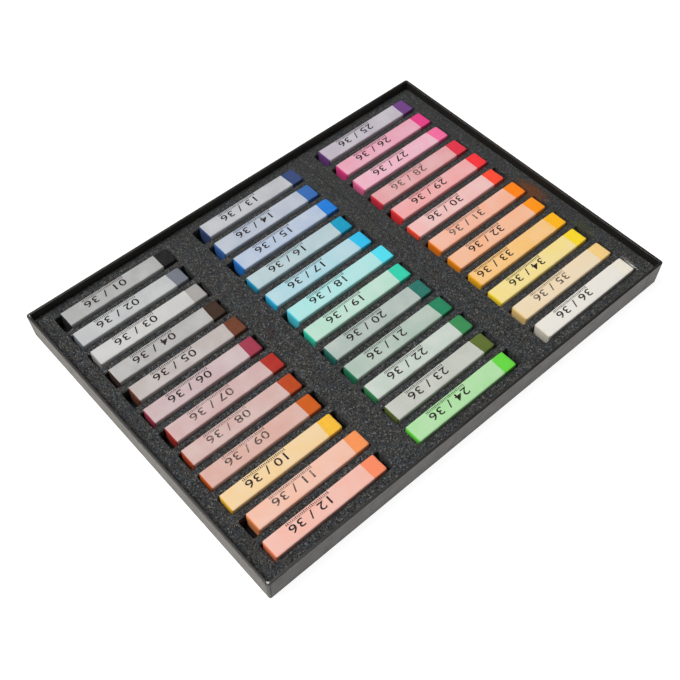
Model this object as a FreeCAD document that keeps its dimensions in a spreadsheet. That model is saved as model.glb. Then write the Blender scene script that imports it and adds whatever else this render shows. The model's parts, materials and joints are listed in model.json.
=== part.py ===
import FreeCAD, Part
import math
import os

import Sketcher


# Open tray of soft pastels: a paper-covered board tray, two slotted foam panels
# and thirty-six square pastel sticks in paper wrappers.
# Frame: +Z up, origin on the underside below the centre of the tray,
# X along the sticks, Y from the front wall to the back wall.


# Counts of the layout
COLUMN_COUNT = 3
ROW_COUNT = 12
WIDE_PANEL_COLUMNS = 2

# Driving dimensions, in mm
SIZES = [
    # one pastel
    ("stick_length", 65.0),
    ("stick_side", 10.0),
    ("stick_edge_radius", 0.6),
    ("stick_tip_radius", 0.4),
    ("wrapper_paper", 0.12),
    ("bare_end_length", 8.0),
    # the slots cut for the pastels
    ("slot_end_play", 4.5),
    ("slot_side_clearance", 0.25),
    ("slot_corner_radius", 0.5),
    ("rest_clearance", 0.2),
    # the foam between and around the slots
    ("rib_width", 4.14),
    ("aisle_width", 16.4),
    ("foam_left_margin", 8.6),
    ("foam_right_margin", 8.2),
    ("foam_end_margin", 6.34),
    ("foam_thickness", 8.3),
    ("foam_seam_gap", 0.3),
    ("foam_edge_clearance", 0.3),
    # the tray
    ("foam_recess", 4.9),
    ("wall_board", 0.5),
    ("floor_board", 1.8),
    ("cover_paper", 0.2),
    ("lining_paper", 0.2),
    ("tray_corner_radius", 0.9),
    ("rim_lean", 0.6),
]

# The most that a rounding may take of the board or edge that carries it
CORNER_SHARE = 0.95

# Sizes worked out from the driving dimensions
WORKED = [
    ("slot_length", "Sizes.stick_length + Sizes.slot_end_play"),
    ("wrapped_side", "Sizes.stick_side + 2 * Sizes.wrapper_paper"),
    ("slot_width", "wrapped_side + 2 * Sizes.slot_side_clearance"),
    ("column_pitch", "slot_length + Sizes.aisle_width"),
    ("row_pitch", "slot_width + Sizes.rib_width"),
    ("slots_length", f"slot_length + {COLUMN_COUNT - 1} * column_pitch"),
    ("slots_width", f"slot_width + {ROW_COUNT - 1} * row_pitch"),
    ("foam_length", "Sizes.foam_left_margin + slots_length + Sizes.foam_right_margin"),
    ("foam_width", "slots_width + 2 * Sizes.foam_end_margin"),
    ("foam_left", "-foam_length / 2"),
    ("foam_right", "foam_length / 2"),
    ("first_column", "foam_left + Sizes.foam_left_margin + slot_length / 2"),
    ("first_row", "slots_width / 2 - slot_width / 2"),
    ("seam", f"first_column + {WIDE_PANEL_COLUMNS - 0.5} * column_pitch"),
    ("wide_right", "seam - Sizes.foam_seam_gap / 2"),
    ("narrow_left", "seam + Sizes.foam_seam_gap / 2"),
    ("opening_length", "foam_length + 2 * Sizes.foam_edge_clearance"),
    ("opening_width", "foam_width + 2 * Sizes.foam_edge_clearance"),
    ("wall_inner_length", "opening_length + 2 * Sizes.cover_paper"),
    ("wall_inner_width", "opening_width + 2 * Sizes.cover_paper"),
    ("board_length", "wall_inner_length + 2 * Sizes.wall_board"),
    ("board_width", "wall_inner_width + 2 * Sizes.wall_board"),
    ("free_board_radius", "Sizes.tray_corner_radius - Sizes.cover_paper"),
    ("board_radius", f"min(free_board_radius; {CORNER_SHARE} * Sizes.wall_board)"),
    ("tray_length", "board_length + 2 * Sizes.cover_paper"),
    ("tray_width", "board_width + 2 * Sizes.cover_paper"),
    ("floor_top", "Sizes.cover_paper + Sizes.floor_board"),
    ("lining_top", "floor_top + Sizes.lining_paper"),
    ("foam_top", "lining_top + Sizes.foam_thickness"),
    ("tray_height", "foam_top + Sizes.foam_recess"),
    ("wall_top", "tray_height - Sizes.cover_paper"),
    ("wall_slant", "atan(Sizes.rim_lean / (tray_height - Sizes.cover_paper))"),
    ("rim_length", "tray_length + 2 * Sizes.rim_lean"),
    ("rim_width", "tray_width + 2 * Sizes.rim_lean"),
    ("stick_seat", "lining_top + Sizes.rest_clearance"),
    ("stick_middle", "wrapped_side / 2"),
    ("stick_left_end", "-Sizes.stick_length / 2"),
    ("wrapper_length", "Sizes.stick_length - Sizes.bare_end_length"),
    ("wrapper_edge_radius", "Sizes.stick_edge_radius + Sizes.wrapper_paper"),
    ("tip_radius", f"min(Sizes.stick_tip_radius; {CORNER_SHARE} * Sizes.stick_edge_radius)"),
]

# How far each stick has slid along its slot, back row first: -1 touches the
# left end of the slot and 1 touches the right end.
SLIDE_SHARES = [
    [0.47, -0.61, -0.34, -0.15, 0.49, -0.37, 0.38, -0.33, -0.68, -0.70, 0.71, -0.51],
    [0.95, 0.34, 0.79, -0.53, -0.36, 0.49, -0.35, -0.18, -0.25, -0.43, -0.63, -0.90],
    [0.23, 0.20, -0.11, -0.13, 0.29, -0.71, -0.12, -0.39, -0.38, -0.84, -0.01, 0.21],
]


def fill_sheet(doc, name, rows, is_formula):
    sheet = doc.addObject("Spreadsheet::Sheet", name)
    for number, (alias, content) in enumerate(rows, start=1):
        sheet.set(f"A{number}", alias)
        sheet.set(f"B{number}", f"={content}" if is_formula else str(content))
        sheet.setAlias(f"B{number}", alias)
    doc.recompute()
    return sheet


def origin_feature(body, role):
    return next(part for part in body.Origin.OriginFeatures if part.Role == role)


def new_body(doc, name):
    body = doc.addObject("PartDesign::Body", name)
    body.Label = name
    return body


def new_sketch(body, name, plane, right=None, up=None, out=None):
    """A sketch on an origin plane, moved by expressions along its own axes."""
    sketch = body.newObject("Sketcher::SketchObject", name)
    sketch.AttachmentSupport = [(origin_feature(body, plane), "")]
    sketch.MapMode = "FlatFace"
    for axis, distance in (("x", right), ("y", up), ("z", out)):
        if distance:
            sketch.setExpression(f"AttachmentOffset.Base.{axis}", distance)
    return sketch


def draw_rectangle(sketch, width, height):
    """A rectangle centred on the sketch's origin; its sizes are expressions."""
    half_x = sketch.evalExpression(width) / 2
    half_y = sketch.evalExpression(height) / 2
    corners = [(-half_x, -half_y), (half_x, -half_y), (half_x, half_y), (-half_x, half_y)]
    points = [FreeCAD.Vector(x, y, 0) for x, y in corners]
    lines = [
        sketch.addGeometry(Part.LineSegment(points[side], points[(side + 1) % 4]))
        for side in range(4)
    ]
    for side, line in enumerate(lines):
        following = lines[(side + 1) % 4]
        sketch.addConstraint(Sketcher.Constraint("Coincident", line, 2, following, 1))
        direction = "Horizontal" if side % 2 == 0 else "Vertical"
        sketch.addConstraint(Sketcher.Constraint(direction, line))
    sketch.addConstraint(Sketcher.Constraint("Symmetric", lines[0], 1, lines[2], 1, -1, 1))
    for kind, line, size, value in (
        ("DistanceX", lines[0], width, 2 * half_x),
        ("DistanceY", lines[1], height, 2 * half_y),
    ):
        number = sketch.addConstraint(Sketcher.Constraint(kind, line, 1, line, 2, value))
        sketch.setExpression(f"Constraints[{number}]", size)


def draw_rounded_rectangle(sketch, width, height, radius):
    """A rectangle with four equal corner arcs, centred on the sketch's origin."""
    size_x = sketch.evalExpression(width)
    size_y = sketch.evalExpression(height)
    corner = sketch.evalExpression(radius)
    reach_x = size_x / 2 - corner
    reach_y = size_y / 2 - corner
    quarters = [(1, -1, 270), (1, 1, 0), (-1, 1, 90), (-1, -1, 180)]
    up = FreeCAD.Vector(0, 0, 1)
    arcs = []
    for side_x, side_y, start in quarters:
        centre = FreeCAD.Vector(side_x * reach_x, side_y * reach_y, 0)
        circle = Part.Circle(centre, up, corner)
        arc = Part.ArcOfCircle(circle, math.radians(start), math.radians(start + 90))
        arcs.append(sketch.addGeometry(arc))
    ends = [
        ((reach_x + corner, -reach_y), (reach_x + corner, reach_y)),
        ((reach_x, reach_y + corner), (-reach_x, reach_y + corner)),
        ((-reach_x - corner, reach_y), (-reach_x - corner, -reach_y)),
        ((-reach_x, -reach_y - corner), (reach_x, -reach_y - corner)),
    ]
    lines = []
    for side, (start, end) in enumerate(ends):
        segment = Part.LineSegment(FreeCAD.Vector(*start, 0), FreeCAD.Vector(*end, 0))
        line = sketch.addGeometry(segment)
        sketch.addConstraint(Sketcher.Constraint("Tangent", arcs[side], 2, line, 1))
        following = arcs[(side + 1) % 4]
        sketch.addConstraint(Sketcher.Constraint("Tangent", line, 2, following, 1))
        direction = "Vertical" if side % 2 == 0 else "Horizontal"
        sketch.addConstraint(Sketcher.Constraint(direction, line))
        lines.append(line)
    for arc in arcs[1:]:
        sketch.addConstraint(Sketcher.Constraint("Equal", arcs[0], arc))
    sketch.addConstraint(Sketcher.Constraint("Symmetric", arcs[0], 3, arcs[2], 3, -1, 1))
    number = sketch.addConstraint(Sketcher.Constraint("Radius", arcs[0], corner))
    sketch.setExpression(f"Constraints[{number}]", radius)
    across = Sketcher.Constraint("DistanceX", lines[2], 1, lines[0], 1, size_x)
    number = sketch.addConstraint(across)
    sketch.setExpression(f"Constraints[{number}]", width)
    along = Sketcher.Constraint("DistanceY", lines[3], 1, lines[1], 1, size_y)
    number = sketch.addConstraint(along)
    sketch.setExpression(f"Constraints[{number}]", height)


def pad(body, sketch, name, length):
    feature = body.newObject("PartDesign::Pad", name)
    feature.Profile = sketch
    feature.setExpression("Length", length)
    return feature


def pocket_upwards(body, sketch, name, length):
    """Cut towards the side that the sketch's normal points to."""
    feature = body.newObject("PartDesign::Pocket", name)
    feature.Profile = sketch
    feature.Reversed = True
    feature.setExpression("Length", length)
    return feature


def make_sheet(doc, name, length, width, bottom, thickness, radius=None):
    """A flat rectangular sheet centred on the tray, with square or round corners."""
    body = new_body(doc, name)
    sketch = new_sketch(body, f"{name}_outline", "XY_Plane", out=bottom)
    if radius:
        draw_rounded_rectangle(sketch, length, width, radius)
    else:
        draw_rectangle(sketch, length, width)
    pad(body, sketch, f"{name}_pad", thickness)
    return body


def make_long_wall(doc, name, side):
    """Front or back wall board: full length, with rounded outer corners."""
    body = new_body(doc, name)
    middle = "(Worked.board_width - Sizes.wall_board) / 2"
    across = middle if side > 0 else f"-{middle}"
    sketch = new_sketch(body, f"{name}_outline", "XY_Plane", up=across, out="Worked.floor_top")
    draw_rectangle(sketch, "Worked.board_length", "Sizes.wall_board")
    block = pad(body, sketch, f"{name}_pad", "Worked.wall_top - Worked.floor_top")
    doc.recompute()
    outer = []
    for number, edge in enumerate(block.Shape.Edges, start=1):
        box = edge.BoundBox
        is_upright = box.ZLength > box.XLength + box.YLength
        if is_upright and abs(box.YMin) > abs(sketch.evalExpression(middle)):
            outer.append(f"Edge{number}")
    fillet = body.newObject("PartDesign::Fillet", f"{name}_corners")
    fillet.Base = (block, outer)
    fillet.setExpression("Radius", "Worked.board_radius")
    return body


def make_short_wall(doc, name, side):
    """Left or right wall board, between the two long walls."""
    body = new_body(doc, name)
    middle = "(Worked.board_length - Sizes.wall_board) / 2"
    across = middle if side > 0 else f"-{middle}"
    sketch = new_sketch(body, f"{name}_outline", "XY_Plane", right=across, out="Worked.floor_top")
    draw_rectangle(sketch, "Sizes.wall_board", "Worked.wall_inner_width")
    pad(body, sketch, f"{name}_pad", "Worked.wall_top - Worked.floor_top")
    return body


def make_cover_strip(doc, name):
    """Paper over the walls, inside and out. Its outer face leans out towards the rim."""
    body = new_body(doc, name)
    outline = new_sketch(body, "strip_outline", "XY_Plane", out="Sizes.cover_paper")
    draw_rounded_rectangle(
        outline, "Worked.tray_length", "Worked.tray_width", "Sizes.tray_corner_radius"
    )
    block = pad(body, outline, "strip_block", "Worked.tray_height - Sizes.cover_paper")
    block.setExpression("TaperAngle", "Worked.wall_slant")

    floor = new_sketch(body, "floor_outline", "XY_Plane", out="Sizes.cover_paper")
    draw_rounded_rectangle(
        floor, "Worked.board_length", "Worked.board_width", "Worked.board_radius"
    )
    pocket_upwards(body, floor, "floor_recess", "Sizes.floor_board")

    walls = new_sketch(body, "wall_ring", "XY_Plane", out="Worked.floor_top")
    draw_rounded_rectangle(
        walls, "Worked.board_length", "Worked.board_width", "Worked.board_radius"
    )
    draw_rectangle(walls, "Worked.wall_inner_length", "Worked.wall_inner_width")
    pocket_upwards(body, walls, "wall_groove", "Worked.wall_top - Worked.floor_top")

    opening = new_sketch(body, "opening_outline", "XY_Plane", out="Sizes.cover_paper")
    draw_rectangle(opening, "Worked.opening_length", "Worked.opening_width")
    pocket_upwards(body, opening, "opening", "Worked.tray_height")
    return body


def make_foam_panel(doc, name, left, right, first_column, columns):
    """A foam panel with a through slot for every stick that it holds."""
    body = new_body(doc, name)
    outline = new_sketch(
        body, f"{name}_outline", "XY_Plane",
        right=f"({left} + {right}) / 2", out="Worked.lining_top",
    )
    draw_rectangle(outline, f"{right} - {left}", "Worked.foam_width")
    pad(body, outline, f"{name}_block", "Sizes.foam_thickness")

    slot = new_sketch(
        body, f"{name}_slot", "XY_Plane",
        right=first_column, up="Worked.first_row", out="Worked.lining_top",
    )
    draw_rounded_rectangle(
        slot, "Worked.slot_length", "Worked.slot_width", "Sizes.slot_corner_radius"
    )
    cut = pocket_upwards(body, slot, f"{name}_first_slot", "Sizes.foam_thickness")

    rows = body.newObject("PartDesign::LinearPattern", f"{name}_slots")
    rows.Originals = [cut]
    rows.Direction = (slot, ["V_Axis"])
    rows.Reversed = True
    rows.Mode = "Extent"
    rows.Occurrences = ROW_COUNT
    rows.setExpression("Length", f"{ROW_COUNT - 1} * Worked.row_pitch")
    if columns > 1:
        rows.Direction2 = (slot, ["H_Axis"])
        rows.Mode2 = "Extent"
        rows.Occurrences2 = columns
        rows.setExpression("Length2", f"{columns - 1} * Worked.column_pitch")
    body.Tip = rows
    return body


def make_stick(doc):
    """The bare pastel stick, lying along X above its seat."""
    body = new_body(doc, "stick_model")
    section = new_sketch(
        body, "stick_section", "YZ_Plane",
        up="Worked.stick_middle", out="Worked.stick_left_end",
    )
    draw_rounded_rectangle(
        section, "Sizes.stick_side", "Sizes.stick_side", "Sizes.stick_edge_radius"
    )
    block = pad(body, section, "stick_block", "Sizes.stick_length")
    doc.recompute()
    tip = []
    for number, edge in enumerate(block.Shape.Edges, start=1):
        if edge.BoundBox.XMin > 0:
            tip.append(f"Edge{number}")
    fillet = body.newObject("PartDesign::Fillet", "stick_tip")
    fillet.Base = (block, tip)
    fillet.setExpression("Radius", "Worked.tip_radius")
    return body


def make_wrapper(doc):
    """The paper tube round the left part of a stick."""
    body = new_body(doc, "wrapper_model")
    section = new_sketch(
        body, "wrapper_section", "YZ_Plane",
        up="Worked.stick_middle", out="Worked.stick_left_end",
    )
    draw_rounded_rectangle(
        section, "Worked.wrapped_side", "Worked.wrapped_side", "Worked.wrapper_edge_radius"
    )
    draw_rounded_rectangle(
        section, "Sizes.stick_side", "Sizes.stick_side", "Sizes.stick_edge_radius"
    )
    pad(body, section, "wrapper_tube", "Worked.wrapper_length")
    return body


def make_pastels(doc, stick, wrapper, sizes, worked):
    """Thirty-six wrapped sticks, numbered down each column from the back row."""
    pastels = []
    for column in range(COLUMN_COUNT):
        for row in range(ROW_COUNT):
            number = column * ROW_COUNT + row + 1
            pastel = doc.addObject("Part::Compound", f"pastel_{number:02d}")
            pastel.Label = f"pastel_{number:02d}"
            pastel.Links = [stick, wrapper]
            slide = SLIDE_SHARES[column][row] * sizes.slot_end_play / 2
            place = FreeCAD.Vector(
                worked.first_column + column * worked.column_pitch + slide,
                worked.first_row - row * worked.row_pitch,
                worked.stick_seat,
            )
            pastel.Placement = FreeCAD.Placement(place, FreeCAD.Rotation())
            pastels.append(pastel)
    return pastels


def check_document(doc):
    for item in doc.Objects:
        if "Invalid" in item.State or "Error" in item.State:
            raise RuntimeError(f"{item.Label} failed: {item.State}")


def check_shape(part, solids):
    shape = part.Shape
    if shape.isNull() or not shape.isValid() or len(shape.Solids) != solids:
        raise RuntimeError(f"{part.Label} has a bad shape")


def check_volume(part, expected, allowance_share=1e-4):
    volume = part.Shape.Volume
    if abs(volume - expected) > allowance_share * expected:
        raise RuntimeError(f"{part.Label} has volume {volume:.1f}, not {expected:.1f}")


def check_slots(panel, columns, length, sizes, worked):
    """The panel must have lost one rounded slot for each stick."""
    slot_area = worked.slot_length * worked.slot_width
    slot_area -= (4 - math.pi) * sizes.slot_corner_radius**2
    area = length * worked.foam_width - columns * ROW_COUNT * slot_area
    check_volume(panel, area * sizes.foam_thickness)


def main():
    doc = FreeCAD.newDocument("pastel_tray")
    sizes = fill_sheet(doc, "Sizes", SIZES, is_formula=False)
    worked = fill_sheet(doc, "Worked", WORKED, is_formula=True)

    base_sheet = make_sheet(
        doc, "cover_base_sheet", "Worked.tray_length", "Worked.tray_width",
        None, "Sizes.cover_paper", "Sizes.tray_corner_radius",
    )
    floor_board = make_sheet(
        doc, "floor_board", "Worked.board_length", "Worked.board_width",
        "Sizes.cover_paper", "Sizes.floor_board", "Worked.board_radius",
    )
    lining = make_sheet(
        doc, "lining_sheet", "Worked.opening_length", "Worked.opening_width",
        "Worked.floor_top", "Sizes.lining_paper",
    )
    walls = [
        make_long_wall(doc, "wall_board_back", 1),
        make_long_wall(doc, "wall_board_front", -1),
        make_short_wall(doc, "wall_board_left", -1),
        make_short_wall(doc, "wall_board_right", 1),
    ]
    cover_strip = make_cover_strip(doc, "cover_wall_strip")
    second_group = f"Worked.first_column + {WIDE_PANEL_COLUMNS} * Worked.column_pitch"
    wide_panel = make_foam_panel(
        doc, "foam_panel_wide", "Worked.foam_left", "Worked.wide_right",
        "Worked.first_column", WIDE_PANEL_COLUMNS,
    )
    narrow_panel = make_foam_panel(
        doc, "foam_panel_narrow", "Worked.narrow_left", "Worked.foam_right",
        second_group, COLUMN_COUNT - WIDE_PANEL_COLUMNS,
    )
    stick = make_stick(doc)
    wrapper = make_wrapper(doc)
    pastels = make_pastels(doc, stick, wrapper, sizes, worked)
    doc.recompute()

    tray = [base_sheet, floor_board, lining, *walls, cover_strip, wide_panel, narrow_panel]
    check_document(doc)
    for part in tray:
        check_shape(part, solids=1)
    for part in pastels:
        check_shape(part, solids=2)
    wide_length = worked.wide_right - worked.foam_left
    narrow_length = worked.foam_right - worked.narrow_left
    check_slots(wide_panel, WIDE_PANEL_COLUMNS, wide_length, sizes, worked)
    narrow_columns = COLUMN_COUNT - WIDE_PANEL_COLUMNS
    check_slots(narrow_panel, narrow_columns, narrow_length, sizes, worked)

    os.makedirs("parts", exist_ok=True)
    for part in tray + pastels:
        part.Shape.exportStep(f"parts/{part.Label}.step")
    outer = f"{worked.rim_length:.2f} x {worked.rim_width:.2f} x {worked.tray_height:.2f}"
    print(f"tray {outer} mm at the rim, {len(tray) + len(pastels)} nodes written")


main()
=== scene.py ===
# %% [markdown]
# # A tray of soft pastels
#
# The object is a shallow open tray made of board and covered with black paper.
# Two panels of charcoal foam lie in it. They have 36 slots, and each slot holds
# one square stick of soft pastel in a sleeve of thin paper. The CAD model fixes
# every size and place, and this script dresses it: where a CAD shape is too
# plain, a finer piece takes its place, and where the shape is right, it only
# gets a better material. Everything is in metres, in the frame of the CAD model.

import json
import math
import random

import bmesh
import bpy
from mathutils import Matrix, Vector, noise


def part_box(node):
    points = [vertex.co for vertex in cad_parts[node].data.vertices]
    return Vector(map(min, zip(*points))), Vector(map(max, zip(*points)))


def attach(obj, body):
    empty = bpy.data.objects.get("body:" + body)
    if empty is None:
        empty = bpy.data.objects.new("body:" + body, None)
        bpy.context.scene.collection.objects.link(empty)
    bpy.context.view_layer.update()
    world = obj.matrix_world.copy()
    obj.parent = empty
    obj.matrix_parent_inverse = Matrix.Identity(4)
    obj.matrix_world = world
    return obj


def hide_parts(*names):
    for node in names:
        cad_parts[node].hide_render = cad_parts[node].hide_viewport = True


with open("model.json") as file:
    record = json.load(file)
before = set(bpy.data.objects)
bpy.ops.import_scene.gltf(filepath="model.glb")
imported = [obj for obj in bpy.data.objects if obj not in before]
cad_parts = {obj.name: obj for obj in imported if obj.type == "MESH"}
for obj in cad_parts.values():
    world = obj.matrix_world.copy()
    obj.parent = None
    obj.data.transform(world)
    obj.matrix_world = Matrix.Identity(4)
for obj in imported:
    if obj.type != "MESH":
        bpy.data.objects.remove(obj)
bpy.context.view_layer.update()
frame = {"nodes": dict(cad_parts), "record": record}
MM = 0.001

# %% [markdown]
# ## The camera
#
# The picture was taken from the front left and from above, with a lens a little
# longer than normal. A camera could be aimed by hand until the picture looks
# right. Here its lens, place and turn were fitted once to the corners of the rim
# and the ends of the sticks, so the three directions of the camera are written
# down and put together into its matrix.

# %% Set the camera
def linked(name, data):
    """A new object in the scene, at the origin."""
    thing = bpy.data.objects.new(name, data)
    bpy.context.scene.collection.objects.link(thing)
    return thing


CAMERA_PLACE = Vector((-0.21469, -0.24374, 0.42270))
CAMERA_RIGHT = Vector((0.748544, -0.662951, -0.013398))
CAMERA_UP = Vector((0.544237, 0.602709, 0.583564))
camera_data = bpy.data.cameras.new("photo_camera")
camera_data.lens = 54.59
camera_data.sensor_width = 36
camera_data.clip_start = 0.02
camera = linked("photo_camera", camera_data)
camera_turn = Matrix((CAMERA_RIGHT, CAMERA_UP, CAMERA_RIGHT.cross(CAMERA_UP))).transposed()
camera.matrix_world = Matrix.Translation(CAMERA_PLACE) @ camera_turn.to_4x4()
bpy.context.scene.camera = camera
bpy.context.scene.view_settings.view_transform = "Standard"
print("camera at", tuple(round(v, 3) for v in CAMERA_PLACE))

# %% [markdown]
# ## Small helpers for shader nodes
#
# A procedural material is a graph of nodes. Writing each node and each link by
# hand takes many lines, so these helpers make one node each and return the
# socket that comes out of it. A term may be a number or another node's socket.


# %% Make one maths node, one vector node or one pattern
def feed(tree, socket, term):
    """Link a socket to what feeds it, or write the number into it."""
    if isinstance(term, bpy.types.NodeSocket):
        tree.links.new(term, socket)
    else:
        socket.default_value = term


def maths(tree, operation, *terms, clamp=False):
    """One Math node, such as ADD or MAXIMUM."""
    node = tree.nodes.new("ShaderNodeMath")
    node.operation = operation
    node.use_clamp = clamp
    for socket, term in zip(node.inputs, terms, strict=False):
        feed(tree, socket, term)
    return node.outputs[0]


def weighed(tree, first, weight, second):
    """A mean of two numbers in which the first has a weight."""
    rest = maths(tree, "MULTIPLY", second, 1 - weight)
    return maths(tree, "MULTIPLY_ADD", first, weight, rest)


def vectors(tree, operation, *terms):
    """One Vector Math node, such as ADD or ABSOLUTE. Two of them give a number."""
    node = tree.nodes.new("ShaderNodeVectorMath")
    node.operation = operation
    for socket, term in zip(node.inputs, terms, strict=False):
        feed(tree, socket, term)
    return node.outputs["Value" if operation in ("LENGTH", "DOT_PRODUCT") else "Vector"]


def enlarged(tree, vector, size):
    """A vector divided by a size, so that a pattern of step 1 gets that size."""
    node = tree.nodes.new("ShaderNodeVectorMath")
    node.operation = "SCALE"
    feed(tree, node.inputs[0], vector)
    feed(tree, node.inputs["Scale"], maths(tree, "DIVIDE", 1.0, size))
    return node.outputs[0]


def voronoi(tree, vector, scale=1.0, feature="F1"):
    """The sockets of a pattern of cells, each round its own random point."""
    node = tree.nodes.new("ShaderNodeTexVoronoi")
    node.feature = feature
    node.inputs["Scale"].default_value = scale
    feed(tree, node.inputs["Vector"], vector)
    return node.outputs


def parted(tree, vector_or_colour, kind="XYZ"):
    """The three parts of a vector, or of a colour."""
    node = tree.nodes.new(f"ShaderNodeSeparate{kind}")
    feed(tree, node.inputs[0], vector_or_colour)
    return node.outputs


def clouds(tree, vector, scale=1.0, detail=3.0, roughness=0.55):
    """Soft noise from 0 to 1."""
    node = tree.nodes.new("ShaderNodeTexNoise")
    node.inputs["Scale"].default_value = scale
    node.inputs["Detail"].default_value = detail
    node.inputs["Roughness"].default_value = roughness
    feed(tree, node.inputs["Vector"], vector)
    return node.outputs[0]


def fade(tree, value, start, end, low=0.0, high=1.0):
    """Turns a value from start to end into a smooth step from low to high."""
    node = tree.nodes.new("ShaderNodeMapRange")
    node.interpolation_type = "SMOOTHSTEP"
    for name, term in (("Value", value), ("From Min", start), ("From Max", end)):
        feed(tree, node.inputs[name], term)
    node.inputs["To Min"].default_value = low
    node.inputs["To Max"].default_value = high
    return node.outputs[0]


print("node helpers ready")


# %% Mix colours, and start a group or a finish
def blended(tree, amount, first, second):
    """Mix two colours. The amount may vary over the surface."""
    node = tree.nodes.new("ShaderNodeMix")
    node.data_type = "RGBA"
    feed(tree, node.inputs[0], amount)
    for socket, colour in ((node.inputs[6], first), (node.inputs[7], second)):
        feed(tree, socket, colour if isinstance(colour, bpy.types.NodeSocket) else (*colour, 1))
    return node.outputs[2]


def new_group(name, given, made):
    """Start a node group. given lists its inputs with their values, made its outputs."""
    tree = bpy.data.node_groups.new(name, "ShaderNodeTree")
    for socket_name, value in given:
        kind = "NodeSocketFloat" if isinstance(value, float) else "NodeSocketVector"
        socket = tree.interface.new_socket(name=socket_name, in_out="INPUT", socket_type=kind)
        socket.default_value = value
    for socket_name in made:
        tree.interface.new_socket(name=socket_name, in_out="OUTPUT", socket_type="NodeSocketFloat")
    inside = tree.nodes.new("NodeGroupInput").outputs
    outside = tree.nodes.new("NodeGroupOutput").inputs
    return tree, inside, outside


def placed(tree, group, vector, **values):
    """Place a group in a material. An underscore in a name stands for a space."""
    node = tree.nodes.new("ShaderNodeGroup")
    node.node_tree = group
    feed(tree, node.inputs["Vector"], vector)
    for name, value in values.items():
        feed(tree, node.inputs[name.replace("_", " ")], value)
    return node.outputs


def new_finish(name, roughness, gloss):
    """A material with one Principled shader, and the piece's own coordinates."""
    material = bpy.data.materials.new(name)
    material.use_nodes = True
    tree = material.node_tree
    shader = tree.nodes["Principled BSDF"].inputs
    shader["Roughness"].default_value = roughness
    shader["Specular IOR Level"].default_value = gloss
    coordinates = tree.nodes.new("ShaderNodeTexCoord").outputs["Object"]
    return material, tree, shader, coordinates


def bumped(tree, shader, height, depth, strength=1.0):
    """Let a height pattern, depth metres deep, tilt the surface."""
    bump = tree.nodes.new("ShaderNodeBump")
    bump.inputs["Strength"].default_value = strength
    bump.inputs["Distance"].default_value = depth
    feed(tree, bump.inputs["Height"], height)
    feed(tree, shader["Normal"], bump.outputs[0])


print("finish helpers ready")

# %% [markdown]
# ## Shared effect: paper fibres
#
# Cover paper, lining paper and sleeves are all paper, and show short fibres that
# lie in every direction. Drawing each fibre would be wasteful. Two noises are
# stretched, one along each axis, and the stronger one wins at each point, which
# reads as crossing fibres.

# %% Build the paper fibre group
paper_fibres, given, made = new_group(
    "Paper fibres",
    [("Vector", (0.0, 0.0, 0.0)), ("Fibre Size", 0.0006)],
    ["Tone", "Height"],
)
LONG = 0.25
SHORT = 1.2
at = enlarged(paper_fibres, given["Vector"], given["Fibre Size"])
along = clouds(paper_fibres, vectors(paper_fibres, "MULTIPLY", at, (LONG, SHORT, SHORT)))
across = clouds(paper_fibres, vectors(paper_fibres, "MULTIPLY", at, (SHORT, LONG, SHORT)))
mottled = clouds(paper_fibres, at, scale=0.12, detail=4.0)
threads = maths(paper_fibres, "MAXIMUM", along, across)
feed(paper_fibres, made["Tone"], weighed(paper_fibres, threads, 0.6, mottled))
feed(paper_fibres, made["Height"], threads)
print("group:", paper_fibres.name)

# %% [markdown]
# ## Shared effect: open foam cells
#
# The foam is full of small open cells. Most are dark holes, and here and there a
# thin cell wall catches the light. These few bright cells are painted highlights in
# the colour. A Voronoi pattern divides the surface into cells: the distance to a
# cell's edge gives its hollow, and a random value per cell picks the few bright
# ones. A cloud on top keeps the pattern from looking even.

# %% Build the foam cell group
foam_cells, given, made = new_group(
    "Foam cells",
    [("Vector", (0.0, 0.0, 0.0)), ("Cell Size", 0.0009)],
    ["Tone", "Glints", "Height"],
)
at = enlarged(foam_cells, given["Vector"], given["Cell Size"])
wobble = foam_cells.nodes.new("ShaderNodeTexNoise")
wobble.inputs["Scale"].default_value = 1.3
feed(foam_cells, wobble.inputs["Vector"], at)
shifted = vectors(foam_cells, "ADD", at, wobble.outputs["Color"])
chance = parted(foam_cells, voronoi(foam_cells, shifted)["Color"], "Color")
wall = voronoi(foam_cells, shifted, feature="DISTANCE_TO_EDGE")
hollow = fade(foam_cells, wall["Distance"], 0.0, 0.35)
bright = fade(foam_cells, chance[0], 0.78, 0.95)
cloud = clouds(foam_cells, at, scale=0.6, detail=4.0, roughness=0.7)
feed(foam_cells, made["Tone"], weighed(foam_cells, chance[1], 0.6, cloud))
feed(foam_cells, made["Glints"], maths(foam_cells, "MULTIPLY", bright, fade(
    foam_cells, cloud, 0.38, 0.6)))
feed(foam_cells, made["Height"], maths(foam_cells, "SUBTRACT", cloud, hollow))
print("group:", foam_cells.name)

# %% [markdown]
# ## Shared effect: chalk grain
#
# A soft pastel is pressed powder. It is dead matt, a little blotchy, and has
# small pits where grains have fallen out. One fine noise gives the blotches, and
# the cores of a Voronoi pattern give the pits.

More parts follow.
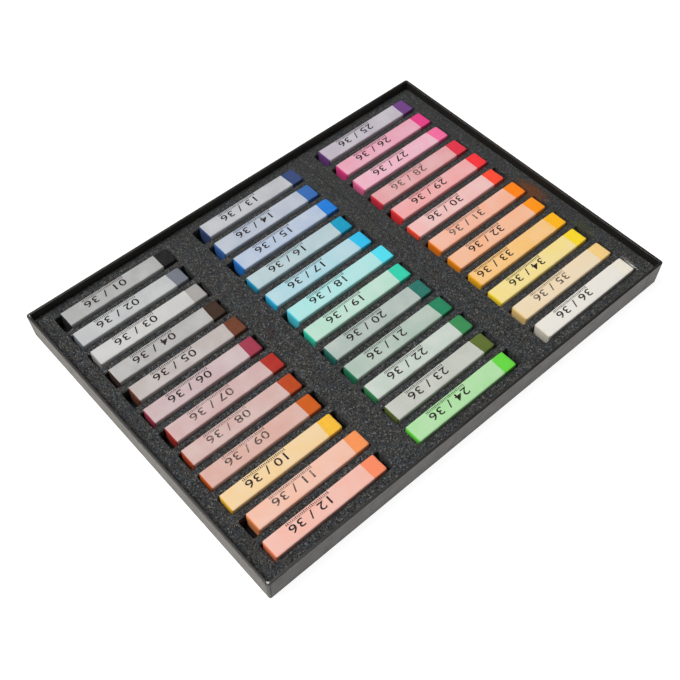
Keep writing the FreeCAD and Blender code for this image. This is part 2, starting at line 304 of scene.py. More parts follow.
# %% Build the chalk grain group
chalk_grain, given, made = new_group(
    "Chalk grain",
    [("Vector", (0.0, 0.0, 0.0)), ("Grain Size", 0.0004)],
    ["Tone", "Pits", "Height"],
)
at = enlarged(chalk_grain, given["Vector"], given["Grain Size"])
powder = clouds(chalk_grain, at, scale=0.8, detail=6.0, roughness=0.7)
blotches = clouds(chalk_grain, at, scale=0.09, detail=3.0)
grains = voronoi(chalk_grain, at, 0.5)
fallen = parted(chalk_grain, grains["Color"], "Color")
pits_and_their_shade = maths(
    chalk_grain,
    "MULTIPLY",
    fade(chalk_grain, grains["Distance"], 0.45, 0.15),
    fade(chalk_grain, fallen[0], 0.82, 0.95),
)
feed(chalk_grain, made["Tone"], weighed(chalk_grain, powder, 0.5, blotches))
feed(chalk_grain, made["Pits"], pits_and_their_shade)
feed(chalk_grain, made["Height"], maths(chalk_grain, "SUBTRACT", powder, pits_and_their_shade))
print("group:", chalk_grain.name)

# %% [markdown]
# ## Shared effect: worn and highlighted edges
#
# Sticks, sleeves and the tray all change colour where two faces meet: chalk gets
# dusty, paper lies tight on the stick and black paper rubs pale. The back fold of a
# sleeve also gets a painted highlight there. The edges of a box can be found
# without painting: a point is on an edge when it is near the faces of two axes at
# once.

# %% Build the edge wear and highlight group
edge_wear_and_highlight, given, made = new_group(
    "Edge wear and highlight",
    [
        ("Vector", (0.0, 0.0, 0.0)),
        ("Half Size", (1.0, 1.0, 1.0)),
        ("Width", 0.001),
        ("Ragged", 0.0005),
    ],
    ["Edges"],
)
from_middle = vectors(edge_wear_and_highlight, "ABSOLUTE", given["Vector"])
depths = parted(edge_wear_and_highlight, vectors(edge_wear_and_highlight, "SUBTRACT", given["Half Size"], from_middle))
rub = clouds(edge_wear_and_highlight, enlarged(edge_wear_and_highlight, given["Vector"], given["Ragged"]), detail=4.0)
reach = maths(edge_wear_and_highlight, "MULTIPLY", given["Width"], maths(
    edge_wear_and_highlight, "MULTIPLY_ADD", rub, 2.0, -0.2))
near = [fade(edge_wear_and_highlight, depth, reach, 0.0) for depth in depths]
pairs = [maths(edge_wear_and_highlight, "MINIMUM", near[i], near[i - 1]) for i in range(3)]
feed(edge_wear_and_highlight, made["Edges"], maths(edge_wear_and_highlight, "MAXIMUM", pairs[0], maths(
    edge_wear_and_highlight, "MAXIMUM", pairs[1], pairs[2])))
print("group:", edge_wear_and_highlight.name)

# %% [markdown]
# ## Shared effect: patches of dust, wear and painted shade
#
# Colour rubs off the sticks on to the foam, paper wears pale at a corner, and a
# dark line of painted shade marks each crease in the cover paper. All are a patch
# round one point that is dense in the middle, thins out and breaks up into
# grains. The distance to the point gives the patch, and a noise breaks it.

# %% Build the dust and shade patch group
dust_and_shade_patch, given, made = new_group(
    "Dust and shade patch",
    [
        ("Vector", (0.0, 0.0, 0.0)),
        ("Middle", (0.0, 0.0, 0.0)),
        ("Reach", (0.01, 0.01, 0.01)),
        ("Grain Size", 0.001),
    ],
    ["Mask"],
)
away = vectors(dust_and_shade_patch, "SUBTRACT", given["Vector"], given["Middle"])
share = vectors(dust_and_shade_patch, "DIVIDE", away, given["Reach"])
body = fade(dust_and_shade_patch, vectors(dust_and_shade_patch, "LENGTH", share), 1.0, 0.1)
grit = clouds(dust_and_shade_patch, enlarged(dust_and_shade_patch, given["Vector"], given["Grain Size"]), detail=5.0)
feed(dust_and_shade_patch, made["Mask"], fade(dust_and_shade_patch, maths(
    dust_and_shade_patch, "MULTIPLY_ADD", body, 0.62, maths(dust_and_shade_patch, "SUBTRACT", grit, 0.62)), 0.0, 0.5))
print("group:", dust_and_shade_patch.name)

# %% [markdown]
# ## Helpers for meshes
#
# Most pieces here start from a level ring: a rectangle with rounded corners. A
# flat grid of one face is scaled to size, its corners are bevelled, and the face
# is taken out so that only its outline stays. Two rings with as many points can
# then be bridged into a wall.


# %% Make sheets, blocks, rounded rings, walls of rings and finished pieces
def sheet(bm, half_x, half_y, middle):
    """The points of a flat face."""
    points = bmesh.ops.create_grid(bm, x_segments=1, y_segments=1, size=1)["verts"]
    bmesh.ops.scale(bm, vec=(half_x, half_y, 1), verts=points)
    bmesh.ops.translate(bm, vec=middle, verts=points)
    return points


def block(bm, size, middle):
    """A plain bar."""
    points = bmesh.ops.create_cube(bm, size=1)["verts"]
    bmesh.ops.scale(bm, vec=size, verts=points)
    bmesh.ops.translate(bm, vec=middle, verts=points)


def rounded(bm, corners, radius, steps, affect="EDGES"):
    """Round off edges, or the corner points of a flat face."""
    bmesh.ops.bevel(
        bm,
        geom=corners,
        offset=radius,
        affect=affect,
        segments=steps,
        profile=0.5,
        material=-1,
    )


def level_ring(bm, half_x, half_y, radius, height, steps=5):
    """The edges of a rounded rectangle that lies level at a height."""
    points = sheet(bm, half_x, half_y, (0, 0, height))
    others = set(bm.faces) - set(points[0].link_faces)
    rounded(bm, points, radius, steps, "VERTICES")
    face = next(f for f in bm.faces if f not in others)
    outline = list(face.edges)
    bmesh.ops.delete(bm, geom=[face], context="FACES_ONLY")
    return outline


def thickened(bm, way, thickness):
    """Give a skin a thickness. Its furthest face along a way must face that way."""
    bmesh.ops.recalc_face_normals(bm, faces=bm.faces)
    furthest = max(bm.faces, key=lambda face: face.calc_center_median().dot(way))
    if furthest.normal.dot(way) < 0:
        bmesh.ops.reverse_faces(bm, faces=bm.faces)
    bmesh.ops.solidify(bm, geom=bm.faces[:], thickness=thickness)


def bridged(bm, rings):
    """Join each ring to the next with a band of faces."""
    for lower, upper in zip(rings, rings[1:], strict=False):
        bmesh.ops.bridge_loops(bm, edges=lower + upper)


def cut_through(bm, places, axis):
    """Cut every face along level planes across one axis, without removing any."""
    for place in places:
        everything = bm.verts[:] + bm.edges[:] + bm.faces[:]
        bmesh.ops.bisect_plane(
            bm, geom=everything, dist=1e-7, plane_co=axis * place, plane_no=axis
        )


def finished(name, bm, *materials, smooth=True):
    """Turn a bmesh into a named object at the origin and hand it its materials."""
    mesh = bpy.data.meshes.new(name)
    bmesh.ops.recalc_face_normals(bm, faces=bm.faces)
    open_edges = sum(len(edge.link_faces) != 2 for edge in bm.edges)
    if open_edges:
        print(name, "has open edges:", open_edges)
    bm.to_mesh(mesh)
    bm.free()
    for material in materials:
        mesh.materials.append(material)
    if smooth:
        mesh.shade_smooth()
    return linked(name, mesh)


def evened(piece):
    """Large faces keep their own direction, and only the rounded edges blend."""
    even = piece.modifiers.new("even_shading", "WEIGHTED_NORMAL")
    even.keep_sharp = True
    even.weight = 100
    return piece


X_AXIS = Vector((1, 0, 0))
Y_AXIS = Vector((0, 1, 0))
Z_AXIS = Vector((0, 0, 1))
print("mesh helpers ready")

# %% [markdown]
# ## Black cover paper
#
# The board is covered with black paper with a faint, warm sheen. From above it
# looks nearly black, but at a flat angle it mirrors the white table, which is why
# the outer walls look grey. That needs no grey paint: a smooth enough finish does
# it by itself, and a little sheen warms it. Where the paper was creased round a
# corner it is matt, and a dark line of painted shade marks the crease. Where it
# tore at the inner corners of the rim its white core shows.

# %% Make the cover paper
cover_paper, tree, shader, place = new_finish("cover_paper", 0.42, 0.93)
fibres = placed(tree, paper_fibres, place, Fibre_Size=0.0007)
paper = blended(tree, fibres["Tone"], (0.002, 0.002, 0.0016), (0.007, 0.0066, 0.0056))
shader["Specular Tint"].default_value = (1.0, 0.965, 0.915, 1)
shader["Sheen Weight"].default_value = 0.12
shader["Sheen Roughness"].default_value = 0.3
shader["Sheen Tint"].default_value = (1.0, 0.78, 0.48, 1)
tray_low, tray_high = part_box("cover_wall_strip")
sheet_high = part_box("cover_base_sheet")[1]
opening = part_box("lining_sheet")[1]
leaning = (sheet_high + tray_high) / 2
quarter_place = vectors(tree, "ABSOLUTE", place)
crease_shade_and_matt = 0.0
for crease_x, crease_y, reach in (
    (opening.x, leaning.y, Vector((0.34, 1.1, 40))),
    (leaning.x, opening.y, Vector((1.1, 0.34, 40))),
):
    crease = placed(
        tree,
        dust_and_shade_patch,
        quarter_place,
        Middle=Vector((crease_x, crease_y, leaning.z)),
        Reach=reach * MM,
        Grain_Size=0.004,
    )
    crease_shade_and_matt = maths(tree, "MAXIMUM", crease["Mask"], crease_shade_and_matt)
# Painted shade: a near-black line down each creased corner, where the fold lies in shade. The same
# mask also makes the crease matt.
paper = blended(tree, crease_shade_and_matt, paper, (0.001, 0.001, 0.001))
rubbed = placed(tree, edge_wear_and_highlight, place, Half_Size=tray_high, Width=0.0003, Ragged=0.0012)
paper = blended(tree, maths(tree, "MULTIPLY", rubbed["Edges"], 0.12), paper, (0.12, 0.115, 0.105))
TORN = (
    ("front corner", (-129.35, -93.85), (1.3, 1.3, 1.5)),
    ("left corner", (-129.40, 93.40), (0.55, 1.8, 0.9)),
)
for _, (x, y), reach in TORN:
    tip = placed(
        tree,
        dust_and_shade_patch,
        place,
        Middle=Vector((x * MM, y * MM, tray_high.z)),
        Reach=Vector(reach) * MM,
        Grain_Size=0.0004,
    )
    paper = blended(tree, fade(tree, tip["Mask"], 0.5, 0.7), paper, (0.72, 0.70, 0.66))
feed(tree, shader["Base Color"], paper)
smoothness = fade(tree, fibres["Tone"], 0.3, 0.8, 0.36, 0.56)
feed(tree, shader["Roughness"], maths(tree, "MULTIPLY_ADD", crease_shade_and_matt, 0.5, smoothness, clamp=True))
bumped(tree, shader, fibres["Height"], 0.00004, 0.5)
print("finish:", cover_paper.name, "torn at the", " and ".join(spot[0] for spot in TORN))

# %% [markdown]
# ## Lining paper and grey board
#
# The floor of the tray is lined with plain black paper, which shows at the
# bottom of a slot beside a stick. The board inside the walls is grey pulp with
# flecks of darker fibre. Its shapes are right as they are, so the CAD nodes stay
# and get these two finishes.

# %% Make the lining paper and the grey board
lining_paper, tree, shader, place = new_finish("lining_paper", 0.9, 0.2)
fibres = placed(tree, paper_fibres, place, Fibre_Size=0.0005)
feed(tree, shader["Base Color"], blended(
    tree, fibres["Tone"], (0.006, 0.006, 0.006), (0.016, 0.016, 0.016)))
bumped(tree, shader, fibres["Height"], 0.00005, 0.5)

grey_board, tree, shader, place = new_finish("grey_board", 0.95, 0.2)
fibres = placed(tree, paper_fibres, place, Fibre_Size=0.0012)
feed(tree, shader["Base Color"], blended(
    tree, fibres["Tone"], (0.18, 0.17, 0.15), (0.34, 0.32, 0.29)))
bumped(tree, shader, fibres["Height"], 0.00008, 0.6)

kept_nodes = {name: grey_board for name in frame["nodes"] if "board" in name}
kept_nodes["lining_sheet"] = lining_paper
kept_nodes["cover_base_sheet"] = cover_paper
for name, finish in kept_nodes.items():
    for material_slot in frame["nodes"][name].material_slots:
        material_slot.material = finish
    print("CAD node kept:", name, "in", finish.name)

# %% [markdown]
# ## The paper round the walls
#
# One strip of paper climbs the outside of the wall, rolls over the top edge and
# goes down inside. The outer face leans out a little, so the tray is wider at its
# rim than at its foot, and its corners are rounder there. A sweep along a path
# could make it, but rings are simpler: each ring is the tray's outline at one
# step of the section, and bridging them in order, back to the first, closes the
# paper all round. Two rings at one height would confuse the bridge, because it
# can't tell which way it goes, so the rim is a little crowned and the cut edges
# slant.

# %% Model the wall cover
PAPER_SHEET = 0.2 * MM
ROLL = 0.18 * MM
CROWN = 0.03 * MM
TAB_PAPER = 0.08 * MM
FOOT_CORNER = 0.9 * MM
RIM_CORNER = 1.5 * MM
BOARD_CORNER = 0.47 * MM
INNER_CORNER = 0.3 * MM
foot = tray_low.z
inner_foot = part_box("lining_sheet")[0].z
top = tray_high.z
board_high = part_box("floor_board")[1]


def outline_ring(bm, height, inset=0.0):
    """A ring on the leaning outer face, or inside it by an inset."""
    share = (height - foot) / (top - foot)
    size = sheet_high.lerp(tray_high, share)
    corner = FOOT_CORNER + (RIM_CORNER - FOOT_CORNER) * share
    return level_ring(bm, size.x - inset, size.y - inset, corner - inset, height)


def inner_ring(bm, height, outset=0.0):
    """A ring on the inner face of the wall, or behind it by an outset."""
    return level_ring(bm, opening.x + outset, opening.y + outset, INNER_CORNER + outset, height)


bm = bmesh.new()
quarter = [math.radians(90 * step / 4) for step in range(5)]
rolls = [
    (ROLL * (1 - math.cos(turn)), top - CROWN - ROLL * (1 - math.sin(turn)))
    for turn in quarter
]
section = [outline_ring(bm, foot, TAB_PAPER)]
section += [outline_ring(bm, height, TAB_PAPER + inset) for inset, height in rolls]
section.append(outline_ring(bm, top, (tray_high.x - opening.x + TAB_PAPER) / 2))
section += [inner_ring(bm, height, inset) for inset, height in reversed(rolls)]
section.append(inner_ring(bm, inner_foot))
section.append(inner_ring(bm, inner_foot + CROWN, PAPER_SHEET))
section.append(inner_ring(bm, top - PAPER_SHEET, PAPER_SHEET))
for height in (top - PAPER_SHEET - CROWN, foot + CROWN):
    section.append(level_ring(bm, board_high.x, board_high.y, BOARD_CORNER, height))
bridged(bm, [*section, section[0]])
wall_cover = evened(finished("tray_wall_cover", bm, cover_paper))
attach(wall_cover, "tray")
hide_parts("cover_wall_strip")
print("wall cover:", len(wall_cover.data.polygons), "faces")

# %% [markdown]
# ## The overlaps at the corners
#
# Where the paper is wrapped round a corner it overlaps itself, and the free edge
# shows as a fine upright line on each short wall. A thin second skin does it: a
# ring wall of the full outline, cut down to its four corners, gets the thickness
# of a sheet of paper.

# %% Model the corner overlaps
TAB_ON_LONG_WALL = 10 * MM
TAB_ON_SHORT_WALL = 3 * MM
bm = bmesh.new()
bridged(bm, [outline_ring(bm, foot + PAPER_SHEET), outline_ring(bm, top - CROWN - ROLL)])
along_x = sheet_high.x - TAB_ON_LONG_WALL
along_y = sheet_high.y - TAB_ON_SHORT_WALL
cut_through(bm, (-along_x, along_x), X_AXIS)
cut_through(bm, (-along_y, along_y), Y_AXIS)
middles = [
    face
    for face in bm.faces
    if abs(face.calc_center_median().x) < along_x or abs(face.calc_center_median().y) < along_y
]
bmesh.ops.delete(bm, geom=middles, context="FACES")
thickened(bm, X_AXIS, TAB_PAPER * 0.95)
corner_overlaps = evened(finished("tray_corner_overlaps", bm, cover_paper))
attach(corner_overlaps, "tray")
print("corner overlaps:", len(corner_overlaps.data.polygons), "faces")

# %% [markdown]
# ## Charcoal foam
#
# The foam is dark and has no sheen. Its colour is a mottle of dark holes and
# lighter cell walls, with a few specks painted bright as highlights, where a cell
# wall would catch the light. Towards the back right a film of fine dust dulls the
# specks, and beside some slots coloured dust from the sticks tints the foam. The
# dust patches are laid over the foam colour one after the other.

# %% Make the foam
charcoal_foam, tree, shader, place = new_finish("charcoal_foam", 0.95, 0.12)
cells = placed(tree, foam_cells, place, Cell_Size=0.00055)
lights = blended(
    tree,
    fade(tree, clouds(tree, enlarged(tree, place, 0.004), detail=4.0), 0.4, 0.6),
    (0.083, 0.092, 0.101),
    (0.099, 0.094, 0.085),
)
foam_colour = blended(tree, fade(tree, cells["Tone"], 0.2, 0.8), (0.026, 0.027, 0.028), lights)
# Painted highlights: the glinting cell walls are painted light grey.
foam_colour = blended(tree, cells["Glints"], foam_colour, (0.27, 0.27, 0.26))
BACK_RIGHT = (1.0, 1.0, 0.0)
FILM = (0.066, 0.067, 0.066)
dulled = fade(tree, vectors(tree, "DOT_PRODUCT", place, BACK_RIGHT), -0.06, 0.12, 0.0, 0.45)
foam_colour = blended(tree, dulled, foam_colour, FILM)
foam_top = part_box("foam_panel_wide")[1].z
DUSTY = (
    ("brown", (122, -13), (9, 18), (0.22, 0.075, 0.025), 0.80),
    ("rust", (52, -2), (6, 8), (0.10, 0.05, 0.03), 0.25),
    ("moss", (122.5, -50), (7, 12), (0.085, 0.10, 0.035), 0.40),
    ("chalk white", (121.8, -81), (2.2, 8), (0.55, 0.54, 0.52), 0.22),
    ("plum", (-45, 8), (5, 9), (0.07, 0.03, 0.035), 0.30),
)
for _, (x, y), (wide, deep), colour, strength in DUSTY:
    patch = placed(
        tree,
        dust_and_shade_patch,
        place,
        Middle=Vector((x * MM, y * MM, foam_top)),
        Reach=Vector((wide, deep, 6)) * MM,
        Grain_Size=0.0012,
    )
    amount = maths(tree, "MULTIPLY", patch["Mask"], strength)
    foam_colour = blended(tree, amount, foam_colour, colour)
feed(tree, shader["Base Color"], foam_colour)
bumped(tree, shader, cells["Height"], 0.0005, 0.8)
print("finish:", charcoal_foam.name, "with", len(DUSTY), "patches of dust")

# %% [markdown]
# ## The foam panels
#
# Each panel is a slab of foam with slots punched right through it. Cutting the
# slots with a Boolean would leave long thin faces. Instead, a flat sheet is
# scored along the sides of every slot, the faces inside the slots are taken out
# and the sheet is given its thickness. The cut edges are rounded, and then every
# point moves by a small smooth noise, because foam never stays quite flat. The
# noise has a fixed seed, so that every run gives the same foam.

# %% Lay out the slots
COLUMN_STEP = 85.9 * MM
COLUMN_SHIFT = 0.2 * MM
COLUMN_PLACES = [COLUMN_SHIFT + COLUMN_STEP * column for column in (-1, 0, 1)]
SLOT_LENGTH = 69.5 * MM
SLOT_WIDTH = 10.74 * MM
ROWS = 12
first_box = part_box("pastel_01")
last_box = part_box(f"pastel_{ROWS:02d}")
back_row = (first_box[0].y + first_box[1].y) / 2
front_row = (last_box[0].y + last_box[1].y) / 2
row_step = (back_row - front_row) / (ROWS - 1)
ROW_PLACES = [back_row - row_step * row for row in range(ROWS)]
print("rows every", round(row_step / MM, 2), "mm")


def divided(marks, longest):
    """The marks, with more between them so that no step is over the longest."""
    places = []
    for low, high in zip(marks, marks[1:], strict=False):
        parts = max(1, math.ceil((high - low) / longest))
        places += [low + (high - low) * part / parts for part in range(parts)]
    return places[1:]


# %% Model one foam panel
FOAM_EDGE = 0.45 * MM
FOAM_BORDER = 0.2 * MM
FOAM_CORNER = 0.5 * MM
FOAM_STEP = 3.2 * MM
FOAM_CUTS = (3 * MM, 5.5 * MM)
PRESSED = 0.22 * MM
SWELL = 0.10 * MM
SWELL_STEP = 14 * MM
RUFFLE = 0.05 * MM
RUFFLE_STEP = 4 * MM
NOISE_SEED = 5
noise.seed_set(NOISE_SEED)


def foam_panel(name, node, columns, wall_side):
    """A slotted slab in the place of a CAD foam panel, pressed against the walls."""
    low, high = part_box(node)
    low.y -= PRESSED
    high.y += PRESSED
    if wall_side < 0:
        low.x -= PRESSED
    else:
        high.x += PRESSED
    middle = (low + high) / 2
    half = (high - low) / 2
    bm = bmesh.new()
    sheet(bm, half.x, half.y, (middle.x, middle.y, high.z))
    ends = [column + side * SLOT_LENGTH / 2 for column in columns for side in (-1, 1)]
    sides = [row + side * SLOT_WIDTH / 2 for row in reversed(ROW_PLACES) for side in (-1, 1)]
    cut_through(bm, divided([low.x, *ends, high.x], FOAM_STEP), X_AXIS)
    cut_through(bm, divided([low.y, *sides, high.y], FOAM_STEP), Y_AXIS)

    def in_slot(point):
        over = any(abs(point.x - column) < SLOT_LENGTH / 2 for column in columns)
        return over and any(abs(point.y - row) < SLOT_WIDTH / 2 for row in ROW_PLACES)

    punched = [face for face in bm.faces if in_slot(face.calc_center_median())]
    bmesh.ops.delete(bm, geom=punched, context="FACES")
    bmesh.ops.solidify(bm, geom=bm.faces[:], thickness=high.z - low.z)
    bmesh.ops.recalc_face_normals(bm, faces=bm.faces)
    upright = [
        edge
        for edge in bm.edges
        if abs(edge.verts[0].co.z - edge.verts[1].co.z) > MM and edge.calc_face_angle(0) > 1
    ]
    rounded(bm, upright, FOAM_CORNER, 2)
    rim = [
        edge
        for edge in bm.edges
        if edge.calc_face_angle(0) > 1 and min(v.co.z for v in edge.verts) > high.z - MM / 10
    ]

    def at_border(edge):
        place = (edge.verts[0].co + edge.verts[1].co) / 2
        return min(min(place[axis] - low[axis], high[axis] - place[axis]) for axis in (0, 1)) < MM

    border = [edge for edge in rim if at_border(edge)]
    slot_edges = [edge for edge in rim if not at_border(edge)]
    rounded(bm, border, FOAM_BORDER, 3)
    rounded(bm, slot_edges, FOAM_EDGE, 3)
    cut_through(bm, [low.z + cut for cut in FOAM_CUTS], Z_AXIS)
    for vert in bm.verts:
        if vert.co.z < low.z + MM:
            continue
        swell = noise.noise_vector(vert.co / SWELL_STEP) * SWELL
        ruffle = noise.noise_vector(vert.co / RUFFLE_STEP) * RUFFLE
        vert.co += swell + ruffle
    panel = finished(name, bm, charcoal_foam)
    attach(panel, "tray")
    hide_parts(node)
    print(name, "has", len(panel.data.polygons), "faces")


# %% Model both foam panels
foam_panel("foam_wide", "foam_panel_wide", COLUMN_PLACES[:2], -1)
foam_panel("foam_narrow", "foam_panel_narrow", COLUMN_PLACES[2:], 1)

# %% [markdown]
# ## Chalk in 36 colours
#
# All the sticks are the same chalk with another pigment. One function makes the
# finish from the pigment, so the 36 materials differ only in their colour and in
# where they are counted from. Dust gathers on the edges of a stick and makes
# them paler, and blotches and pits keep its faces from looking painted. Three
# pigments are mended, because they rendered too dark or too blue at first.


# %% Make one chalk
def lighter(colour, amount):
    """A colour moved towards white."""
    return tuple(channel + (0.92 - channel) * amount for channel in colour)


def darker(colour, amount):
    """A colour moved towards black."""
    return tuple(channel * (1 - amount) for channel in colour)


def chalk(name, pigment, middle, half):
    """The finish of one bare stick, with dusty edges and painted shade in its pits."""
    material, tree, shader, place = new_finish(name, 0.92, 0.15)
    grain = placed(tree, chalk_grain, place, Grain_Size=0.0003)
    edges = placed(
        tree,
        edge_wear_and_highlight,
        vectors(tree, "SUBTRACT", place, middle),
        Half_Size=half,
        Width=0.0006,
        Ragged=0.0012,
    )
    tone = fade(tree, grain["Tone"], 0.3, 0.7)
    colour = blended(tree, tone, darker(pigment, 0.04), lighter(pigment, 0.015))
    # Painted shade: each pit is painted darker, as if its hollow were in shade.
    pits_and_their_shade = maths(tree, "MULTIPLY", grain["Pits"], 0.5)
    colour = blended(tree, pits_and_their_shade, colour, darker(pigment, 0.4))
    dust = maths(tree, "MULTIPLY", edges["Edges"], 0.5)
    colour = blended(tree, dust, colour, lighter(pigment, 0.06 + 0.2 * max(pigment)))
    feed(tree, shader["Base Color"], colour)
    bumped(tree, shader, grain["Height"], 0.00012, 0.7)
    return material


pigments = {
    entry["slot"]: tuple(entry["base_color"][:3])
    for entry in frame["record"]["materials"]
    if entry["slot"].startswith("pastel_")
}
pigments["pastel_02"] = lighter(pigments["pastel_02"], 0.06)
pigments["pastel_13"] = lighter(pigments["pastel_13"], 0.015)
pigments["pastel_14"] = (0.038, 0.146, 0.43)
print("pigments:", len(pigments))

# %% [markdown]
# ## Sleeve paper
#
# The sleeve is thin enough to let the stick shine through, so it takes a tint of
# the pigment. Real see-through paper would need the light to pass it twice and
# would render slowly and noisily. The sleeve is opaque instead, and its colour
# mixes paper and pigment. Where the paper is pressed tight over the edges of the
# stick, more pigment shows. Some sleeves cling to their stick and others hang
# loose, which was judged for each stick that differs.


# %% Make one sleeve paper
SLEEVE_WHITE = (0.78, 0.78, 0.765)
CLINGS = {
    1: 0.09, 2: 0.05, 3: 0.06, 4: 0.07, 5: 0.04, 9: 0.03, 10: 0.04, 14: 0.04, 15: 0.04,
    16: 0.04, 17: 0.08, 18: 0.13, 20: 0.07, 21: 0.07, 24: 0.16, 32: 0.04, 33: 0.17, 34: 0.07,
}
HANGS_LOOSE = {22: 0.09, 23: 0.05, 30: 0.20, 27: 0.05, 29: 0.04}


def shows_through(pigment, number):
    """How much of the pigment shows: warm colours show more, and so does paper that clings."""
    return 0.38 + 0.2 * pigment[0] + CLINGS.get(number, 0) - HANGS_LOOSE.get(number, 0)


def under_paper(pigment):
    """The paper is yellowish, so it holds back some of a pigment's blue."""
    red, green, blue = pigment
    return (red, green, blue - 0.2 * max(0, blue - red))


def sleeve_paper(name, number, pigment, middle, half):
    """Thin paper over a stick of one pigment, with a painted highlight on its back fold."""
    material, tree, shader, place = new_finish(name, 0.6, 0.35)
    fibres = placed(tree, paper_fibres, place, Fibre_Size=0.0008)
    folds = placed(
        tree,
        edge_wear_and_highlight,
        vectors(tree, "SUBTRACT", place, middle),
        Half_Size=Vector((1, half.y, half.z)),
        Width=0.0006,
        Ragged=0.004,
    )
    contact = clouds(tree, enlarged(tree, place, 0.011), detail=3.0)
    amount = fade(tree, contact, 0.3, 0.7, -0.05, 0.05)
    amount = maths(tree, "ADD", amount, shows_through(pigment, number))
    across = parted(tree, place)["Y"]
    # The paper lies tight on the front fold, so more pigment shows there. The back fold is painted
    # paler instead, as a painted highlight where it faces the lamp.
    fold_tightness_and_highlight = fade(tree, across, middle.y - MM, middle.y + MM, 0.3, -0.25)
    fold_tightness_and_highlight = maths(tree, "MULTIPLY", folds["Edges"], fold_tightness_and_highlight)
    amount = maths(tree, "ADD", fold_tightness_and_highlight, amount, clamp=True)
    colour = blended(tree, amount, SLEEVE_WHITE, under_paper(pigment))
    fleck = fade(tree, fibres["Tone"], 0.35, 0.75, -0.03, 0.04)
    colour = blended(tree, maths(tree, "ADD", fleck, 0.03, clamp=True), colour, SLEEVE_WHITE)
    feed(tree, shader["Base Color"], colour)
    feed(tree, shader["Roughness"], fade(tree, fibres["Tone"], 0.3, 0.8, 0.5, 0.68))
    bumped(tree, shader, fibres["Height"], 0.00003, 0.5)
    return material


print("a black stick shows", round(shows_through((0, 0, 0), 1), 2), "through its sleeve")

# %% [markdown]
# ## The sticks
#
# A stick is a square bar of pressed chalk with soft edges. It starts as a cube
# scaled to size, and one bevel rounds every edge. A few cuts near the ends give
# points to wear down: chalk loses its corners first, so points near a corner of
# an end sink in by a little noise.

# %% Model one stick
PAPER = 0.12 * MM
SLEEVE_LENGTH = 57 * MM
STICK_EDGE = 0.6 * MM
END_CUTS = (1.2 * MM, 2.4 * MM, 4.5 * MM, 7.5 * MM)
CROSS_CUTS = (-3.2 * MM, -1 * MM, 1 * MM, 3.2 * MM)
WORN_LENGTH = 1.6 * MM
WORN_WIDTH = 1.4 * MM
CHALK_DENT = 0.03 * MM


def stick(name, number):
    """The bare chalk of one pastel, in the place of its CAD node."""
    low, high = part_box(name)
    middle = (low + high) / 2
    half = (high - low) / 2 - Vector((0, PAPER, PAPER))
    bm = bmesh.new()
    block(bm, half * 2, middle)
    rounded(bm, bm.edges[:], STICK_EDGE, 3)
    cut_through(bm, [low.x + cut for cut in END_CUTS], X_AXIS)
    cut_through(bm, [high.x - cut for cut in END_CUTS], X_AXIS)
    cut_through(bm, [middle.y + cut for cut in CROSS_CUTS], Y_AXIS)
    cut_through(bm, [middle.z + cut for cut in CROSS_CUTS], Z_AXIS)
    chance = random.Random(number)
    softness = chance.uniform(0.12, 0.38) * MM
    for vert in bm.verts:
        outwards = vert.co - middle
        from_end, from_side, from_top = half - Vector([abs(value) for value in outwards])
        lost = max(0, 1 - from_end / WORN_LENGTH)
        lost *= max(0, 1 - min(from_side, from_top) / WORN_WIDTH)
        rough = noise.noise(vert.co / (2.5 * MM) + Vector((number, 0, 0)))
        corner_way = Vector([math.copysign(1, value) for value in outwards])
        vert.co -= corner_way * softness * lost * (0.6 + 0.8 * abs(rough))
        dent = noise.noise_vector(vert.co / (3 * MM) + Vector((0, number, 0)))
        vert.co += dent * CHALK_DENT
    finish = chalk(f"chalk_{number:02d}", pigments[name], middle, half)
    piece = evened(finished(f"stick_{number:02d}", bm, finish))
    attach(piece, name)
    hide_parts(name)
    return piece


# %% Model all sticks
PASTELS = sorted(pigments)
for number, name in enumerate(PASTELS, start=1):
    piece = stick(name, number)
print("sticks:", len(PASTELS), "of", len(piece.data.polygons), "faces each")

# %% [markdown]
# ## The sleeves
#
# A sleeve is a strip of paper folded round the stick, glued along one side. Two
# upright rings are bridged into a square tube, the tube is laid down along the
# stick and then given the thickness of the paper. The paper dips a little
# between its folds, its free end is cut slightly askew, and a second layer shows
# where it is glued.


# %% Model one sleeve
SLEEVE_FOLD = 0.7 * MM
SLEEVE_START = 0.55 * MM
GLUED = 4.6 * MM
SINKING = 0.03 * MM
MOST_ASKEW = 0.35 * MM
RIPPLE = 0.12 * MM
NEAR = MM / 10


def dip(place, number):
    """How far the paper sinks at a place, so that print can follow it."""
    wave = noise.noise(Vector((place.x / (13 * MM), place.y / (7 * MM), number * 3.7)))
    return -SINKING * (1 + wave)


